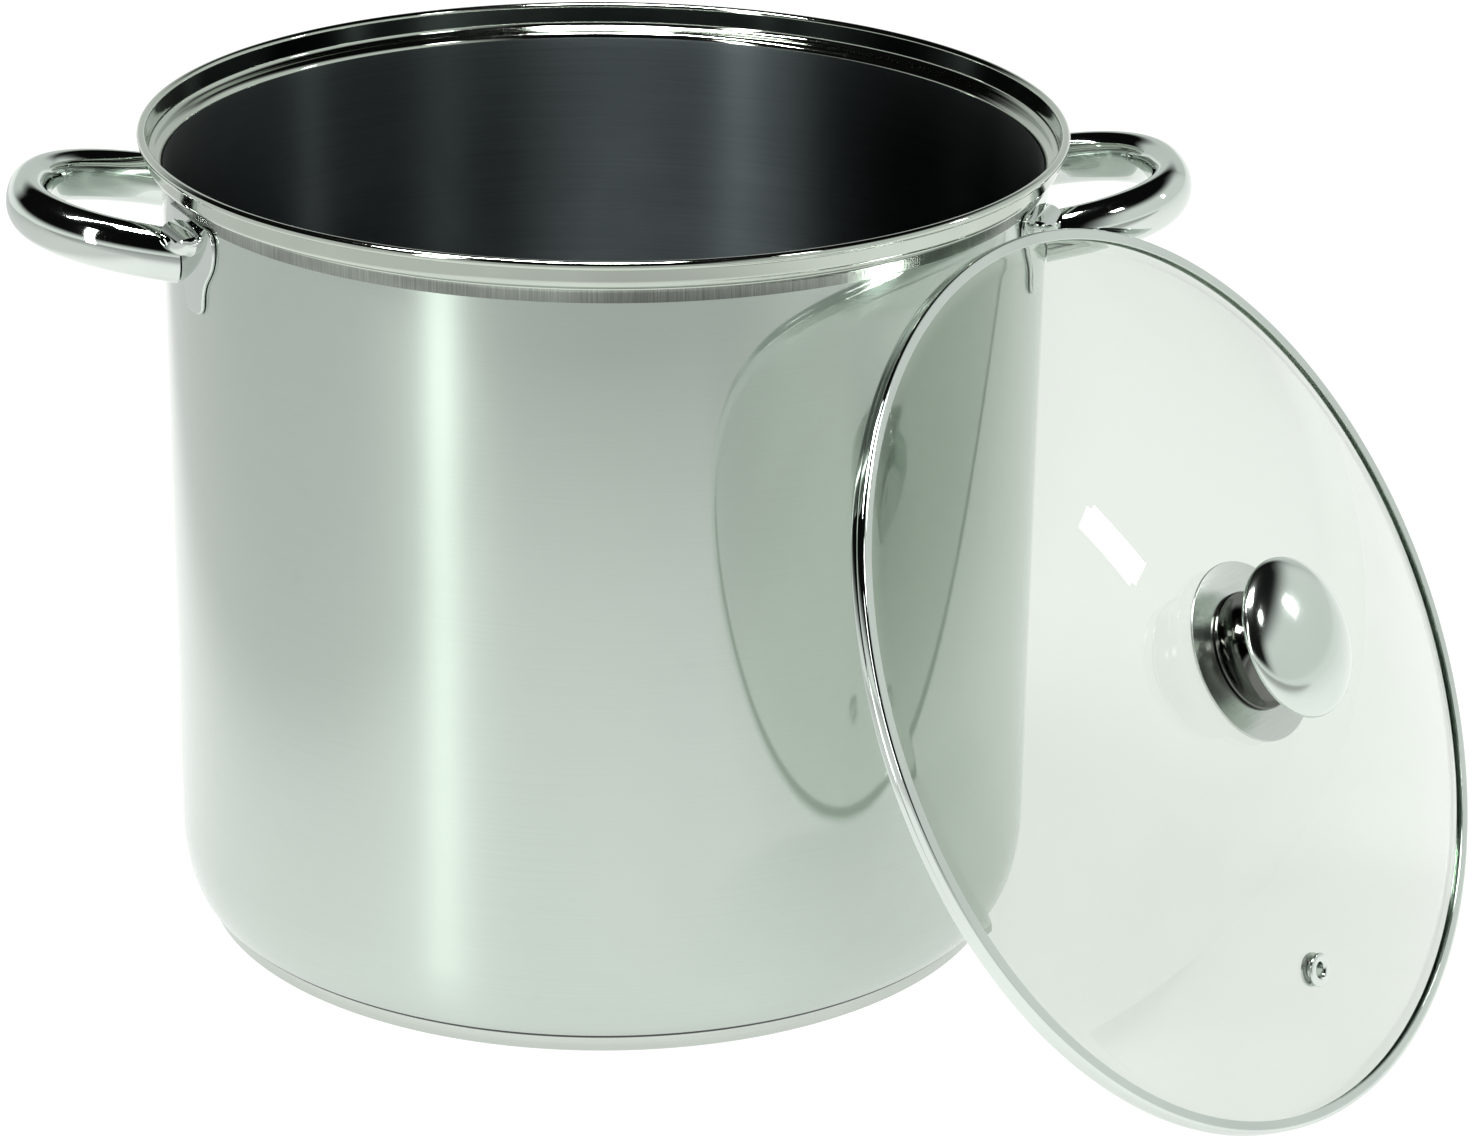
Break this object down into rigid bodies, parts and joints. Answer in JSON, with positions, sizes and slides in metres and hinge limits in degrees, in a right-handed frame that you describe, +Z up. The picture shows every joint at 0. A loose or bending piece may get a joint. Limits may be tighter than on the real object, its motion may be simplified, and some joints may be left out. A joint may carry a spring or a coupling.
{
  "type": "water bath canner",
  "caption": "Tall stainless steel water bath canner with loop handles, an encapsulated base, a domed glass lid leaning on its side and a folding wire jar rack inside.",
  "frame": {"origin": "centre of the flat underside of the pot's base", "axes": "+Z up along the pot's axis, +X towards the right-hand handle (which is turned 4 degrees further), the lid leans on the side that faces between +X and -Y"},
  "size_m": [0.5108, 0.4301, 0.2866],
  "materials": {
    "brushed_steel": "satin brushed stainless steel, grain around the wall",
    "polished_steel": "mirror polished stainless steel",
    "chrome_wire": "chrome plated wire",
    "aluminium": "plain pressed aluminium",
    "tempered_glass": "clear tempered glass with a faint green tint",
    "silicone": "translucent white silicone"
  },
  "bodies": {
    "pot": {"pot_body": "brushed_steel", "base_heat_disc": "aluminium", "base_cap": "brushed_steel", "handle_right_loop": "polished_steel", "handle_right_front_bracket": "polished_steel", "handle_right_rear_bracket": "polished_steel", "handle_left_loop": "polished_steel", "handle_left_front_bracket": "polished_steel", "handle_left_rear_bracket": "polished_steel"},
    "lid": {"lid_glass": "tempered_glass", "lid_rim_band": "polished_steel", "lid_vent_eyelet": "polished_steel", "lid_vent_backing_ring": "polished_steel", "knob_upper_gasket": "silicone", "knob_flange": "brushed_steel", "knob_neck": "polished_steel", "knob_cap": "polished_steel", "knob_lower_gasket": "silicone", "knob_washer": "brushed_steel", "knob_screw": "brushed_steel"},
    "rack": {"rack_ring": "chrome_wire", "rack_cross_wire_1": "chrome_wire", "rack_cross_wire_2": "chrome_wire", "rack_cross_wire_3": "chrome_wire", "rack_cross_wire_4": "chrome_wire", "rack_cross_wire_5": "chrome_wire", "rack_cross_wire_6": "chrome_wire", "rack_runner_left": "chrome_wire", "rack_runner_right": "chrome_wire", "rack_eye_left_front": "chrome_wire", "rack_eye_left_rear": "chrome_wire", "rack_eye_right_front": "chrome_wire", "rack_eye_right_rear": "chrome_wire", "rack_foot_1": "chrome_wire", "rack_foot_2": "chrome_wire", "rack_foot_3": "chrome_wire", "rack_foot_4": "chrome_wire"},
    "bail_left": {"rack_bail_left": "chrome_wire"},
    "bail_right": {"rack_bail_right": "chrome_wire"}
  },
  "joints": [
    {"name": "lid_lift_away", "type": "slide", "parent": "pot", "child": "lid", "axis": [0.6809, -0.5435, 0.4909], "range_m": [0, 0.35]},
    {"name": "rack_lift", "type": "slide", "parent": "pot", "child": "rack", "axis": [0, 0, 1], "range_m": [0, 0.32]},
    {"name": "bail_left_fold", "type": "hinge", "parent": "rack", "child": "bail_left", "pos_m": [-0.12665, 0, 0.0357], "axis": [0, -1, 0], "range_deg": [0, 95]},
    {"name": "bail_right_fold", "type": "hinge", "parent": "rack", "child": "bail_right", "pos_m": [0.12665, 0, 0.0357], "axis": [0, 1, 0], "range_deg": [0, 95]}
  ]
}
